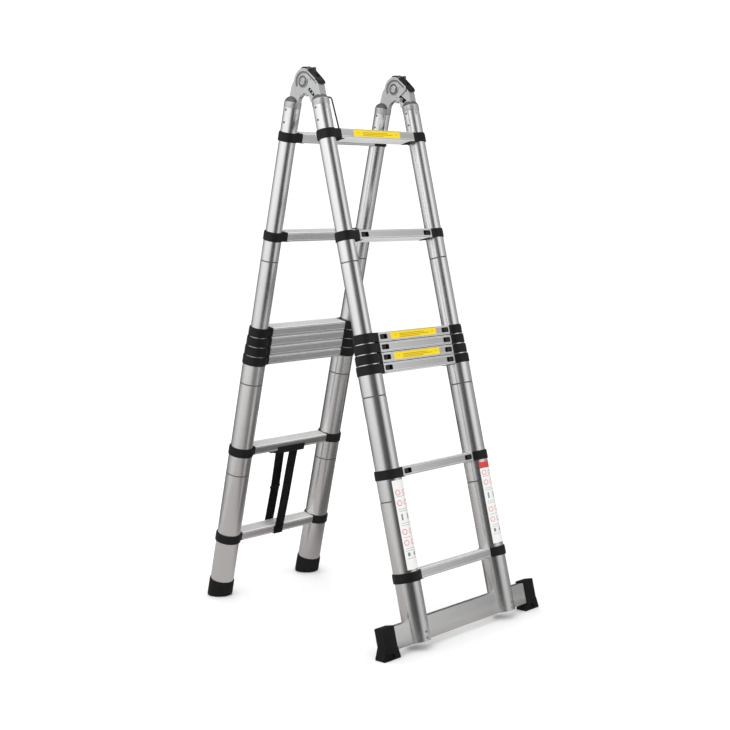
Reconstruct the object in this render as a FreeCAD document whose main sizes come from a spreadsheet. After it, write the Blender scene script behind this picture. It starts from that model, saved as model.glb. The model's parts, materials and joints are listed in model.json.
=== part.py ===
import FreeCAD, Part
import math
import os

# Telescoping double ladder, in millimetres.
#
# Each of its two ladders is built in a frame of its own: the origin is the point
# on the hinge axis midway between the stiles, X runs along the rungs, Z runs up
# the stile, and -Y faces away from the other ladder. A placement then leans the
# ladder out and stands it on the floor, which is Z = 0.

os.makedirs("parts", exist_ok=True)

SIZES = {
    "stile_spacing": 396,
    "pivot_offset": 41.5,
    "pivot_height": 1602,
    "pivot_y": -5,
    "lean_angle": 13.4,
    "smallest_tube": 50,
    "tube_step": 4,
    "tube_wall": 1.5,
    "tube_length": 400,
    "tube_top_drop": 65,
    "front_tube_end": 1636,
    "rear_tube_end": 1642,
    "bead_drop": 90,
    "bead_depth": 0.7,
    "bead_width": 1.8,
    "bush_length": 12,
    "bush_proud": 0.15,
    "first_rung_drop": 155,
    "rung_pitch": 300,
    "stack_pitch": 30,
    "lowest_rung_step": 294,
    "rung_height": 27.5,
    "rung_depth": 48,
    "rung_length": 320,
    "rung_wall": 2,
    "tread_groove": 1.2,
    "tread_pitch": 5.5,
    "face_groove": 1,
    "face_groove_inset": 3.5,
    "collar_wall": 2.5,
    "clamp_wall": 4,
    "collar_lip": 3,
    "block_depth": 46,
    "insert_length": 43,
    "insert_gap": 0.2,
    "window_length": 31,
    "window_height": 15,
    "window_inset": 6,
    "pocket_depth": 11,
    "slider_length": 16,
    "slider_height": 13,
    "slider_depth": 8,
    "slider_sink": 1.5,
    "slider_gap": 2,
    "ridge_length": 3,
    "ridge_height": 1.2,
    "leaf_thickness": 14.8,
    "leaf_gap": 0.6,
    "plate_thickness": 5,
    "leaf_head": 42,
    "plate_head": 36,
    "rim_width": 6,
    "rim_height": 2,
    "boss_radius": 15,
    "boss_height": 3,
    "pin_radius": 8,
    "pin_gap": 0.3,
    "pin_head_radius": 12,
    "pin_head_height": 3,
    "plug_length": 75,
    "shoulder_drop": 60,
    "slot_floor": 52,
    "slot_gap": 1.8,
    "lever_thickness": 4,
    "lever_gap": 0.5,
    "lever_pin_radius": 4,
    "lever_pin_y": -47,
    "lever_pin_z": -12,
    "bar_length": 650,
    "bar_height": 64,
    "bar_depth": 28,
    "bar_wall": 2.5,
    "notch_gap": 0.3,
    "shoe_length": 50,
    "shoe_depth": 36,
    "shoe_overhang": 12,
    "shoe_drop": 9,
    "sole_length": 68,
    "sole_depth": 42,
    "sole_height": 22,
    "foot_radius": 40,
    "foot_drop": 30,
    "foot_blank": 72,
    "floor_length": 2000,
    "floor_depth": 200,
    "strap_width": 38,
    "bracket_length": 150,
    "bracket_depth": 24,
    "bracket_height": 15,
}

SECTIONS = 7
STACKED_RUNGS = (4, 5, 6)
SIDES = (("left", -1), ("right", 1))

doc = FreeCAD.newDocument("telescoping_ladder")
sheet = doc.addObject("Spreadsheet::Sheet", "Sizes")
for row, (alias, value) in enumerate(SIZES.items(), start=1):
    sheet.set(f"A{row}", alias)
    sheet.set(f"B{row}", str(value))
    sheet.setAlias(f"B{row}", alias)
doc.recompute()


def size(alias):
    """The value of one driving dimension."""
    return float(sheet.get(alias))


def bind(item, rules):
    """Ties the item's properties to expressions over the sheet's cells."""
    for name, rule in rules.items():
        item.setExpression(name, rule)
    return item


def cylinder(name, radius, height, x, y, z, along_x=False):
    """A round rod that starts at x, y, z and runs along Z, or along X."""
    rod = doc.addObject("Part::Cylinder", name)
    if along_x:
        rod.Placement = FreeCAD.Placement(FreeCAD.Vector(), FreeCAD.Rotation(FreeCAD.Vector(0, 1, 0), 90))
    rules = {"Radius": radius, "Height": height}
    rules.update({"Placement.Base.x": x, "Placement.Base.y": y, "Placement.Base.z": z})
    return bind(rod, rules)


def box(name, length, width, height, x, y, z):
    """A box centred on x and y, with its lower face at z."""
    block = doc.addObject("Part::Box", name)
    rules = {"Length": length, "Width": width, "Height": height}
    rules["Placement.Base.x"] = f"({x}) - ({length}) / 2"
    rules["Placement.Base.y"] = f"({y}) - ({width}) / 2"
    rules["Placement.Base.z"] = z
    return bind(block, rules)


def fuse(name, items):
    """Several solids as one."""
    whole = doc.addObject("Part::MultiFuse", name)
    whole.Shapes = items
    return whole


def cut(name, base, tools):
    """The base with the tools taken away."""
    left = doc.addObject("Part::Cut", name)
    left.Base = base
    left.Tool = tools[0] if len(tools) == 1 else fuse(f"{name}_tools", tools)
    return left


def group(name, items):
    """Separate solids that make one sub-part."""
    whole = doc.addObject("Part::Compound", name)
    whole.Links = items
    return whole


def padded(name, outlines, thickness, x):
    """A flat plate across X: closed outlines in the Y-Z plane, padded evenly about x."""
    body = doc.addObject("PartDesign::Body", f"{name}_body")
    sketch = body.newObject("Sketcher::SketchObject", f"{name}_sketch")
    plane = [item for item in body.Origin.OriginFeatures if item.Role == "YZ_Plane"][0]
    sketch.AttachmentSupport = [(plane, "")]
    sketch.MapMode = "FlatFace"
    for points in outlines:
        for start, end in zip(points, points[1:] + points[:1]):
            edge = Part.LineSegment(FreeCAD.Vector(*start, 0), FreeCAD.Vector(*end, 0))
            sketch.addGeometry(edge)
    pad = body.newObject("PartDesign::Pad", f"{name}_pad")
    pad.Profile = sketch
    pad.SideType = "Symmetric"
    bind(pad, {"Length": thickness})
    bind(body, {"Placement.Base.x": x})
    return body


def tube_radius(section):
    """The outer radius of a section's tube, as an expression."""
    return f"((Sizes.smallest_tube + {section - 1} * Sizes.tube_step) / 2)"


def rung_top(rung):
    """The height of a rung's top in the ladder's frame, as an expression."""
    moving = range(2, min(rung, SECTIONS) + 1)
    stacked = len([step for step in moving if step in STACKED_RUNGS])
    spread = len(moving) - stacked
    fixed = " + Sizes.lowest_rung_step" if rung > SECTIONS else ""
    return (f"(-(Sizes.first_rung_drop + {spread} * Sizes.rung_pitch"
            f" + {stacked} * Sizes.stack_pitch{fixed}))")


def tube_top(section):
    """The height of a tube's top: the first tube holds the hinge, the others end under a lip."""
    if section == 1:
        return "(-Sizes.tube_top_drop)"
    return f"({rung_top(section)} - Sizes.collar_lip)"


def tube_end(ladder, section):
    """The height of a tube's lower end."""
    if section == SECTIONS:
        return f"(-Sizes.{ladder}_tube_end)"
    return f"({rung_top(section)} - Sizes.tube_length)"


def rungs_of(section):
    """The last section carries the last two rungs, and every other section one."""
    return (section, section + 1) if section == SECTIONS else (section,)


STILE_Y = "(-Sizes.pivot_offset)"
LOWEST = "(-Sizes.front_tube_end)"
RUNG_MIDDLE = " - Sizes.rung_height / 2"


def stile_x(sign):
    """Where a stile's axis stands, as an expression."""
    return f"({sign} * Sizes.stile_spacing / 2)"


def make_tube(name, ladder, section, sign):
    """One tube of a stile, with the rolled bead that stops the tube inside it."""
    x, top, end = stile_x(sign), tube_top(section), tube_end(ladder, section)
    height = f"{top} - {end}"
    radius = tube_radius(section)
    outside = cylinder(f"{name}_outside", radius, height, x, STILE_Y, end)
    tools = [cylinder(f"{name}_bore", f"{radius} - Sizes.tube_wall", height, x, STILE_Y, end)]
    if section > 1:
        level = f"{rung_top(section)} - Sizes.bead_drop"
        ring = cylinder(f"{name}_ring", f"{radius} * 2", "Sizes.bead_width", x, STILE_Y, level)
        core = cylinder(f"{name}_core", f"{radius} - Sizes.bead_depth", "Sizes.bead_width", x, STILE_Y, level)
        tools.append(cut(f"{name}_bead", ring, [core]))
    if section == SECTIONS and ladder == "front":
        tools.append(box(f"{name}_notch", "Sizes.smallest_tube * 2", "Sizes.bar_depth + Sizes.notch_gap",
                         "Sizes.bar_height * 2 + Sizes.notch_gap", x, STILE_Y, f"{LOWEST} - Sizes.bar_height"))
    return cut(name, outside, tools)


def rung_grooves(name, top):
    """The grooves of the tread, and the fine line near each edge of both faces."""
    length = "Sizes.rung_length"
    grooves = []
    for index in range(-3, 4):
        y = f"{STILE_Y} + {index} * Sizes.tread_pitch"
        grooves.append(box(f"{name}_tread{index + 3}", length, "Sizes.tread_groove", "Sizes.tread_groove",
                           "0", y, f"{top} - Sizes.tread_groove"))
    edges = (("high", f"{top} - Sizes.face_groove_inset"),
             ("low", f"{top} - Sizes.rung_height + Sizes.face_groove_inset"))
    for face in (-1, 1):
        y = f"{STILE_Y} + {face} * Sizes.rung_depth / 2"
        for edge, level in edges:
            grooves.append(box(f"{name}_line_{edge}{face + 1}", length, "Sizes.face_groove",
                               "Sizes.face_groove", "0", y, level))
    return grooves


def window_x(sign):
    """The middle of a release window along the rung."""
    return f"({sign} * (Sizes.rung_length / 2 - Sizes.window_inset - Sizes.window_length / 2))"


def make_rung(name, rung):
    """A grooved hollow tread, with a window at each end for its release slider."""
    top = rung_top(rung)
    bottom = f"{top} - Sizes.rung_height"
    outside = box(f"{name}_outside", "Sizes.rung_length", "Sizes.rung_depth", "Sizes.rung_height",
                  "0", STILE_Y, bottom)
    hollow = box(f"{name}_hollow", "Sizes.rung_length", "Sizes.rung_depth - 2 * Sizes.rung_wall",
                 "Sizes.rung_height - 2 * Sizes.rung_wall", "0", STILE_Y, f"{bottom} + Sizes.rung_wall")
    tools = [hollow] + rung_grooves(name, top)
    if 1 < rung <= SECTIONS:
        for side, sign in SIDES:
            tools.append(box(f"{name}_window_{side}", "Sizes.window_length", "Sizes.rung_wall * 2",
                             "Sizes.window_height", window_x(sign), f"{STILE_Y} - Sizes.rung_depth / 2",
                             f"{top}{RUNG_MIDDLE} - Sizes.window_height / 2"))
    return cut(name, outside, tools)


def make_collar(name, section, rung, sign):
    """A moulded collar: a ring on the tube's top, a block to the rung, an insert inside the rung."""
    top = rung_top(rung)
    bottom = f"{top} - Sizes.rung_height"
    own = tube_radius(section)
    is_clamp = rung in (1, SECTIONS + 1)
    wall = "Sizes.clamp_wall" if is_clamp else "Sizes.collar_wall"
    reach = "(Sizes.stile_spacing - Sizes.rung_length) / 2"
    insert_x = f"{sign} * (Sizes.rung_length - Sizes.insert_length) / 2"
    inside = "2 * Sizes.rung_wall - 2 * Sizes.insert_gap"
    ring = cylinder(f"{name}_ring", f"{own} + {wall}", "Sizes.rung_height", stile_x(sign), STILE_Y, bottom)
    rung_end = box(f"{name}_rung_end", "Sizes.rung_length", "Sizes.rung_depth", "Sizes.rung_height",
                   "0", STILE_Y, bottom)
    solids = [
        cut(f"{name}_flat_ring", ring, [rung_end]),
        box(f"{name}_block", reach, "Sizes.block_depth", "Sizes.rung_height",
            f"{sign} * (Sizes.stile_spacing + Sizes.rung_length) / 4", STILE_Y, bottom),
        box(f"{name}_insert", "Sizes.insert_length", f"Sizes.rung_depth - {inside}",
            f"Sizes.rung_height - {inside}", insert_x, STILE_Y,
            f"{bottom} + Sizes.rung_wall + Sizes.insert_gap"),
    ]
    tools = [cylinder(f"{name}_seat", own, "Sizes.rung_height" if is_clamp else
                      "Sizes.rung_height - Sizes.collar_lip", stile_x(sign), STILE_Y, bottom)]
    if not is_clamp:
        mouth = f"{tube_radius(section - 1)} + Sizes.tube_step / 2 - Sizes.tube_wall"
        tools.append(cylinder(f"{name}_mouth", mouth, "Sizes.rung_height", stile_x(sign), STILE_Y, bottom))
        tools.append(box(f"{name}_pocket", "Sizes.window_length", "Sizes.pocket_depth * 2",
                         "Sizes.window_height", window_x(sign), f"{STILE_Y} - Sizes.rung_depth / 2",
                         f"{top}{RUNG_MIDDLE} - Sizes.window_height / 2"))
    return cut(name, fuse(f"{name}_solid", solids), tools)


def make_bush(name, ladder, section, sign):
    """The ring at a tube's foot that slides inside the next tube."""
    foot = f"{tube_end(ladder, section)} - Sizes.bush_length"
    radius = tube_radius(section)
    outside = cylinder(f"{name}_outside", f"{radius} + Sizes.bush_proud", "Sizes.bush_length",
                       stile_x(sign), STILE_Y, foot)
    bore = cylinder(f"{name}_bore", f"{radius} - Sizes.tube_wall", "Sizes.bush_length",
                    stile_x(sign), STILE_Y, foot)
    return cut(name, outside, [bore])


def make_slider(name, rung, sign):
    """A release slider in its window, at the end of its travel nearest the stile."""
    top = rung_top(rung)
    face = f"({STILE_Y} - Sizes.rung_depth / 2 + Sizes.slider_sink)"
    x = (f"{window_x(sign)} + {sign} * (Sizes.window_length / 2 - Sizes.slider_gap"
         " - Sizes.slider_length / 2)")
    middle = f"{top}{RUNG_MIDDLE}"
    pad = box(f"{name}_pad", "Sizes.slider_length", "Sizes.slider_depth", "Sizes.slider_height", x,
              f"{face} + Sizes.slider_depth / 2", f"{middle} - Sizes.slider_height / 2")
    ridge = box(f"{name}_ridge", "Sizes.ridge_length", "Sizes.ridge_height * 2",
                "Sizes.slider_height - Sizes.ridge_length", x, face,
                f"{middle} - Sizes.slider_height / 2 + Sizes.ridge_length / 2")
    return fuse(name, [pad, ridge])


# Outlines of the hinge's flat pieces, in the ladder's own Y and Z.
LEAF_ARM = [(-22, 34), (-50, -17), (-54, -62), (-14, -62), (-5, -40), (6, -36)]
PLATE_ARM = [(-20, 29), (-50, -17), (-54, -62), (-14, -62), (-6, -35), (6, -32)]
LEVER = [(-50, -3), (-55, -12), (-49, -21), (-34, -47), (-19, -51), (-15, -43), (-42, -10)]


def make_plug(name, sign):
    """The round shoulder on a tube's top, and the plug inside the tube."""
    shoulder = cylinder(f"{name}_shoulder", tube_radius(1), "Sizes.tube_top_drop - Sizes.shoulder_drop",
                        stile_x(sign), STILE_Y, "-Sizes.tube_top_drop")
    plug = cylinder(f"{name}_rod", f"{tube_radius(1)} - Sizes.tube_wall - Sizes.insert_gap",
                    "Sizes.plug_length", stile_x(sign), STILE_Y, "-Sizes.tube_top_drop - Sizes.plug_length")
    return [shoulder, plug]


def across(name, radius, half, sign):
    """A round disc across a hinge, from -half to half about the stile."""
    return cylinder(name, radius, f"2 * ({half})", f"{stile_x(sign)} - ({half})", "0", "0", along_x=True)


PLATE_INNER = "(Sizes.leaf_thickness / 2 + Sizes.leaf_gap)"
PLATE_OUTER = "(Sizes.leaf_thickness / 2 + Sizes.leaf_gap + Sizes.plate_thickness)"


def make_rear_leaf(name, sign):
    """The single leaf that turns between the two plates of the front leaf."""
    half = "Sizes.leaf_thickness / 2"
    head = across(f"{name}_head", "Sizes.leaf_head", half, sign)
    arm = padded(f"{name}_arm", [LEAF_ARM], "Sizes.leaf_thickness", stile_x(sign))
    bore = across(f"{name}_bore", "Sizes.pin_radius + Sizes.pin_gap", half, sign)
    solid = fuse(f"{name}_solid", [head, arm] + make_plug(f"{name}_plug", sign))
    return cut(name, solid, [bore])


def make_front_leaf(name, sign):
    """Two plates with raised rims and bosses, joined below the head by a web."""
    head = across(f"{name}_head", "Sizes.plate_head", f"{PLATE_OUTER} + Sizes.rim_height", sign)
    arm = padded(f"{name}_arm", [PLATE_ARM], f"2 * {PLATE_OUTER}", stile_x(sign))
    boss = across(f"{name}_boss", "Sizes.boss_radius", f"{PLATE_OUTER} + Sizes.boss_height", sign)
    recess = across(f"{name}_recess", "Sizes.plate_head - Sizes.rim_width",
                    f"{PLATE_OUTER} + Sizes.rim_height", sign)
    core = across(f"{name}_core", "Sizes.plate_head - Sizes.rim_width", PLATE_OUTER, sign)
    slot = across(f"{name}_slot", "Sizes.leaf_head + Sizes.slot_gap", PLATE_INNER, sign)
    bore = across(f"{name}_bore", "Sizes.pin_radius", f"{PLATE_OUTER} + Sizes.boss_height", sign)
    slot_arm = box(f"{name}_slot_arm", f"2 * {PLATE_INNER}", "Sizes.leaf_head", "Sizes.slot_floor",
                   stile_x(sign), "0", "-Sizes.slot_floor")
    rimmed = cut(f"{name}_rimmed", fuse(f"{name}_plates", [head, arm]), [recess])
    solid = fuse(f"{name}_solid", [rimmed, core, boss] + make_plug(f"{name}_plug", sign))
    return cut(name, solid, [slot, slot_arm, bore])


def lever_rod(name, radius, sign):
    """A short rod that stands on the inward face of a hinge and reaches past its lever."""
    reach = "(Sizes.lever_thickness + 2 * Sizes.lever_gap)"
    face = f"{stile_x(sign)} - {sign} * {PLATE_OUTER}"
    start = face if sign < 0 else f"{face} - {reach}"
    return cylinder(name, radius, reach, start, "Sizes.lever_pin_y", "Sizes.lever_pin_z", along_x=True)


def make_pin(name, sign):
    """A hinge pin with a head at each end, and the small pin that its lock lever turns on."""
    seat = f"({PLATE_OUTER} + Sizes.boss_height)"
    shaft = across(f"{name}_shaft", "Sizes.pin_radius", seat, sign)
    heads = []
    for end, place in (("near", f"-{seat} - Sizes.pin_head_height"), ("far", seat)):
        heads.append(cylinder(f"{name}_{end}", "Sizes.pin_head_radius", "Sizes.pin_head_height",
                              f"{stile_x(sign)} + {place}", "0", "0", along_x=True))
    small = lever_rod(f"{name}_small", "Sizes.lever_pin_radius", sign)
    return group(name, [fuse(f"{name}_large", [shaft] + heads), small])


def make_lever(name, sign):
    """A lock lever on the inward face of a hinge."""
    x = (f"{sign} * (Sizes.stile_spacing / 2 - {PLATE_OUTER} - Sizes.lever_gap"
         " - Sizes.lever_thickness / 2)")
    plate = padded(name, [LEVER], "Sizes.lever_thickness", x)
    hole = lever_rod(f"{name}_hole", "Sizes.lever_pin_radius + Sizes.pin_gap", sign)
    return cut(f"{name}_drilled", plate, [hole])


def make_bar(name):
    """The stabiliser bar, a rectangular tube across both stiles."""
    outside = box(f"{name}_outside", "Sizes.bar_length", "Sizes.bar_depth", "Sizes.bar_height",
                  "0", STILE_Y, LOWEST)
    hollow = box(f"{name}_hollow", "Sizes.bar_length", "Sizes.bar_depth - 2 * Sizes.bar_wall",
                 "Sizes.bar_height - 2 * Sizes.bar_wall", "0", STILE_Y, f"{LOWEST} + Sizes.bar_wall")
    return cut(name, outside, [hollow])


def floor_block(name):
    """Everything below the floor, seen from a ladder's frame."""
    block = doc.addObject("Part::Box", name)
    lean = FreeCAD.Rotation(FreeCAD.Vector(1, 0, 0), size("lean_angle"))
    half = size("floor_length") / 2
    corner = FreeCAD.Vector(-half, -half, -size("pivot_height") - size("floor_depth"))
    block.Placement = FreeCAD.Placement(lean.multVec(corner), lean)
    return bind(block, {"Length": "Sizes.floor_length", "Width": "Sizes.floor_length",
                        "Height": "Sizes.floor_depth"})


def make_shoe(name, sign):
    """An end shoe: a sleeve on the bar, and a wider sole that lies flat on the floor."""
    lean = FreeCAD.Rotation(FreeCAD.Vector(1, 0, 0), size("lean_angle"))
    x = f"{sign} * Sizes.bar_length / 2"
    sleeve = box(f"{name}_sleeve", "Sizes.shoe_length", "Sizes.shoe_depth",
                 "Sizes.bar_height + Sizes.shoe_overhang", x, STILE_Y, f"{LOWEST} - Sizes.shoe_drop")
    angle = math.radians(size("lean_angle"))
    ankle = -size("pivot_offset") * math.cos(angle) - size("front_tube_end") * math.sin(angle)
    sole = doc.addObject("Part::Box", f"{name}_sole")
    corner = FreeCAD.Vector(sign * size("bar_length") / 2 - size("sole_length") / 2,
                            ankle - size("sole_depth") / 2, -size("pivot_height"))
    sole.Placement = FreeCAD.Placement(lean.multVec(corner), lean)
    bind(sole, {"Length": "Sizes.sole_length", "Width": "Sizes.sole_depth", "Height": "Sizes.sole_height"})
    hollow = box(f"{name}_hollow", "Sizes.bar_length", "Sizes.bar_depth", "Sizes.bar_height",
                 "0", STILE_Y, LOWEST)
    return cut(name, fuse(f"{name}_solid", [sleeve, sole]), [hollow, floor_block(f"{name}_floor")])


def make_foot(name, sign):
    """A rubber cap on a rear tube, cut flat where it stands on the floor."""
    low = "-Sizes.rear_tube_end - Sizes.foot_drop"
    cap = cylinder(f"{name}_cap", "Sizes.foot_radius", "Sizes.foot_blank", stile_x(sign), STILE_Y, low)
    seat = cylinder(f"{name}_seat", tube_radius(SECTIONS), "Sizes.foot_blank", stile_x(sign), STILE_Y,
                    "-Sizes.rear_tube_end")
    return cut(name, cap, [seat, floor_block(f"{name}_floor")])


STRAP_OUTSIDE = [(-36, -1188), (-12, -1428), (-12, -1474), (-71, -1474), (-71, -1428), (-47, -1188)]
STRAP_INSIDE = [(-38.5, -1190.5), (-14.5, -1428), (-14.5, -1471.5), (-68.5, -1471.5), (-68.5, -1428),
                (-44.5, -1190.5)]


def make_strap(name):
    """The carry strap: a moulded bracket under rung 7 and a band round rung 8."""
    bracket = box(f"{name}_bracket", "Sizes.bracket_length", "Sizes.bracket_depth", "Sizes.bracket_height",
                  "0", STILE_Y, f"{rung_top(SECTIONS)} - Sizes.rung_height - Sizes.bracket_height")
    band = padded(f"{name}_band", [STRAP_OUTSIDE, STRAP_INSIDE], "Sizes.strap_width", "0")
    return fuse(name, [bracket, band])


def ladder_placement(ladder):
    """Leans a ladder out about the hinge axis; the rear one is turned to face away."""
    lean = FreeCAD.Rotation(FreeCAD.Vector(1, 0, 0), -size("lean_angle"))
    turn = FreeCAD.Rotation(FreeCAD.Vector(0, 0, 1), 180 if ladder == "rear" else 0)
    pivot = FreeCAD.Vector(0, size("pivot_y"), size("pivot_height"))
    return FreeCAD.Placement(pivot, turn.multiply(lean))


nodes = {}


def keep(node, ladder, item):
    """Names a finished sub-part and stands it in its ladder."""
    item.Label = node
    item.Placement = ladder_placement(ladder)
    nodes[node] = item


def make_section(ladder, section):
    """One telescoping section: two tubes and a rung, its collars and bushes, its sliders."""
    node = f"{ladder}_section_{section}"
    frame = [make_tube(f"{node}_tube_{side}", ladder, section, sign) for side, sign in SIDES]
    frame += [make_rung(f"{node}_rung{rung}", rung) for rung in rungs_of(section)]
    keep(node, ladder, group(node, frame))
    collars = []
    for side, sign in SIDES:
        for rung in rungs_of(section):
            collars.append(make_collar(f"{node}_collar{rung}_{side}", section, rung, sign))
        if section < SECTIONS:
            collars.append(make_bush(f"{node}_bush_{side}", ladder, section, sign))
    keep(f"{node}_collars", ladder, group(f"{node}_collars", collars))
    if section > 1:
        for side, sign in SIDES:
            slider = f"{ladder}_slider_{section}_{side}"
            turned = -sign if ladder == "rear" else sign
            keep(slider, ladder, make_slider(slider, section, turned))


def make_pair(node, ladder, maker):
    """The same piece at the left and the right stile, as one sub-part."""
    keep(node, ladder, group(node, [maker(f"{node}_{side}", sign) for side, sign in SIDES]))


for ladder in ("front", "rear"):
    for section in range(1, SECTIONS + 1):
        make_section(ladder, section)
make_pair("hinge_front_leaves", "front", make_front_leaf)
make_pair("hinge_rear_leaves", "rear", make_rear_leaf)
make_pair("hinge_pins", "front", make_pin)
make_pair("hinge_lock_levers", "front", make_lever)
make_pair("stabiliser_shoes", "front", make_shoe)
make_pair("rear_foot_caps", "rear", make_foot)
keep("stabiliser_bar", "front", make_bar("stabiliser_bar"))
keep("carry_strap", "rear", make_strap("carry_strap"))

doc.recompute()
for item in doc.Objects:
    if {"Invalid", "Error"} & set(item.State):
        raise RuntimeError(f"{item.Label} did not build: {item.State}")
for node, item in nodes.items():
    if item.Shape.isNull() or not item.Shape.isValid():
        raise RuntimeError(f"{node} has no valid shape")
for node, item in nodes.items():
    item.Shape.exportStep(f"parts/{node}.step")
print(len(nodes), "sub-parts written")
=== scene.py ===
import json
import math

import bmesh
import bpy
from mathutils import Matrix, Vector


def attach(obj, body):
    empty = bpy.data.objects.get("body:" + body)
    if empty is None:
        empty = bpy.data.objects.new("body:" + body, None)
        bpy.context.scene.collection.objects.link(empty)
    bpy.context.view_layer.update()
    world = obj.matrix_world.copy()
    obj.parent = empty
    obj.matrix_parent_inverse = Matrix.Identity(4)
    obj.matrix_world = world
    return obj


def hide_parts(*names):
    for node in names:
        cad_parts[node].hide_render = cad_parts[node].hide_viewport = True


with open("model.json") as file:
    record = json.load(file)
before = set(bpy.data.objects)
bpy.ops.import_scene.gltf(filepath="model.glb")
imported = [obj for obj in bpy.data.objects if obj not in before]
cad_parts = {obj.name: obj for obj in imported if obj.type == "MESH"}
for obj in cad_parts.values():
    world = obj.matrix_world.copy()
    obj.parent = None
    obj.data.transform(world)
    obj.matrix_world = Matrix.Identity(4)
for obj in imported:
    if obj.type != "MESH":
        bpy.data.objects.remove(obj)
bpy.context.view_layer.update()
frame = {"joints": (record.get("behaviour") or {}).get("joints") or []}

# Every piece is drawn in millimetres in its own ladder's frame, and a placement turns that into
# the row frame in metres. A ladder's frame has its origin on the hinge axis midway between the
# stiles, X along the rungs, Z up the stile, and -Y away from the other ladder.
joints = {joint["name"]: joint for joint in frame["joints"]}
pivot = Vector(joints["ladder_hinge"]["pos_m"])
down = Vector(joints["front_slide_2"]["axis"])
lean = math.atan2(-down.y, -down.z)
in_metres = Matrix.Scale(0.001, 4)
leaned = Matrix.Rotation(-lean, 4, "X") @ in_metres
PLACE = {
    "front": Matrix.Translation(pivot) @ leaned,
    "rear": Matrix.Translation(pivot) @ Matrix.Rotation(math.pi, 4, "Z") @ leaned,
    "world": in_metres,
}
FLOOR_DROP = pivot.z * 1000

# Driving dimensions, mm.
STILE_X = 198
STILE_Y = -41.5
SECTIONS = 7
RUNG_TOPS = {1: -155, 2: -455, 3: -755, 4: -785, 5: -815, 6: -845, 7: -1145, 8: -1439}
TUBE_WALL = 1.5
TUBE_LENGTH = 400
TUBE_TOP = -65
COLLAR_LIP = 3
BEAD_DROP = 90
BEAD_HALF = 1.8
TUBE_END = {"front": -1636, "rear": -1642}
RUNG_HALF = 160
RUNG_DEPTH = 48
RUNG_HEIGHT = 27.5
BLOCK_DEPTH = 46
WINDOW_X = 138.5
WINDOW_LENGTH = 31
WINDOW_HEIGHT = 15
BAR_HALF = 325
BAR_DEPTH = 28
BAR_HEIGHT = 64
SHARP_ANGLE = math.radians(32)
SIDES = (("left", -1), ("right", 1))


def tube_radius(section):
    return 23 + 2 * section


def rungs_of(section):
    return (section, section + 1) if section == SECTIONS else (section,)


# ---------------------------------------------------------------- materials


def node_of(tree, kind, **inputs):
    """A shader node with the given input values."""
    node = tree.nodes.new(kind)
    for name, value in inputs.items():
        node.inputs[name.replace("_", " ")].default_value = value
    return node


def new_material(name, colour, roughness, metallic=0.0, **constants):
    """A Principled material; constants are set on the shader's own sockets."""
    material = bpy.data.materials.new(name)
    material.use_nodes = True
    shader = material.node_tree.nodes["Principled BSDF"]
    shader.inputs["Base Color"].default_value = (*colour, 1)
    shader.inputs["Roughness"].default_value = roughness
    shader.inputs["Metallic"].default_value = metallic
    for key, value in constants.items():
        shader.inputs[key.replace("_", " ")].default_value = value
    return material


def grain(material, scale, stretch=(1, 1, 1), turn=0.0, detail=4.0):
    """A noise over the object's own coordinates, stretched and turned about X."""
    tree = material.node_tree
    place = tree.nodes.new("ShaderNodeTexCoord")
    mapping = tree.nodes.new("ShaderNodeMapping")
    mapping.inputs["Rotation"].default_value = (turn, 0, 0)
    mapping.inputs["Scale"].default_value = stretch
    noise = node_of(tree, "ShaderNodeTexNoise", Scale=scale, Detail=detail)
    tree.links.new(place.outputs["Object"], mapping.inputs["Vector"])
    tree.links.new(mapping.outputs["Vector"], noise.inputs["Vector"])
    return noise.outputs["Fac"]


def spread(material, source, low, high, socket):
    """Sends a noise to a shader socket, between two values or two colours."""
    tree = material.node_tree
    shader = tree.nodes["Principled BSDF"]
    if isinstance(low, tuple):
        ramp = tree.nodes.new("ShaderNodeValToRGB")
        ramp.color_ramp.elements[0].position = 0.3
        ramp.color_ramp.elements[1].position = 0.7
        ramp.color_ramp.elements[0].color = (*low, 1)
        ramp.color_ramp.elements[1].color = (*high, 1)
        tree.links.new(source, ramp.inputs["Fac"])
        tree.links.new(ramp.outputs["Color"], shader.inputs[socket])
        return
    span = tree.nodes.new("ShaderNodeMapRange")
    span.inputs["From Min"].default_value = 0.3
    span.inputs["From Max"].default_value = 0.7
    span.inputs["To Min"].default_value = low
    span.inputs["To Max"].default_value = high
    tree.links.new(source, span.inputs["Value"])
    tree.links.new(span.outputs["Result"], shader.inputs[socket])


def relief(material, source, strength, distance):
    """Sends a noise to the surface as bump."""
    tree = material.node_tree
    bump = node_of(tree, "ShaderNodeBump", Strength=strength, Distance=distance)
    tree.links.new(source, bump.inputs["Height"])
    tree.links.new(bump.outputs["Normal"], tree.nodes["Principled BSDF"].inputs["Normal"])


def drawn_aluminium(name, turn, along):
    """Satin anodised aluminium, with fine lines along the direction it was drawn in."""
    material = new_material(name, (0.8, 0.8, 0.79), 0.27, metallic=1.0)
    lines = grain(material, 1.0, stretch=along, turn=turn)
    blotch = grain(material, 5.0, turn=turn, detail=2.0)
    spread(material, blotch, (0.79, 0.79, 0.785), (0.83, 0.83, 0.828), "Base Color")
    spread(material, lines, 0.2, 0.26, "Roughness")
    relief(material, lines, 0.02, 0.0001)
    return material


TUBE_LINES = (420, 420, 2)
RUNG_LINES = (2, 420, 420)
MATERIALS = {
    "front_tube": drawn_aluminium("tube_aluminium_front", lean, TUBE_LINES),
    "rear_tube": drawn_aluminium("tube_aluminium_rear", -lean, TUBE_LINES),
    "rung": drawn_aluminium("rung_aluminium", 0.0, RUNG_LINES),
}


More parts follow.
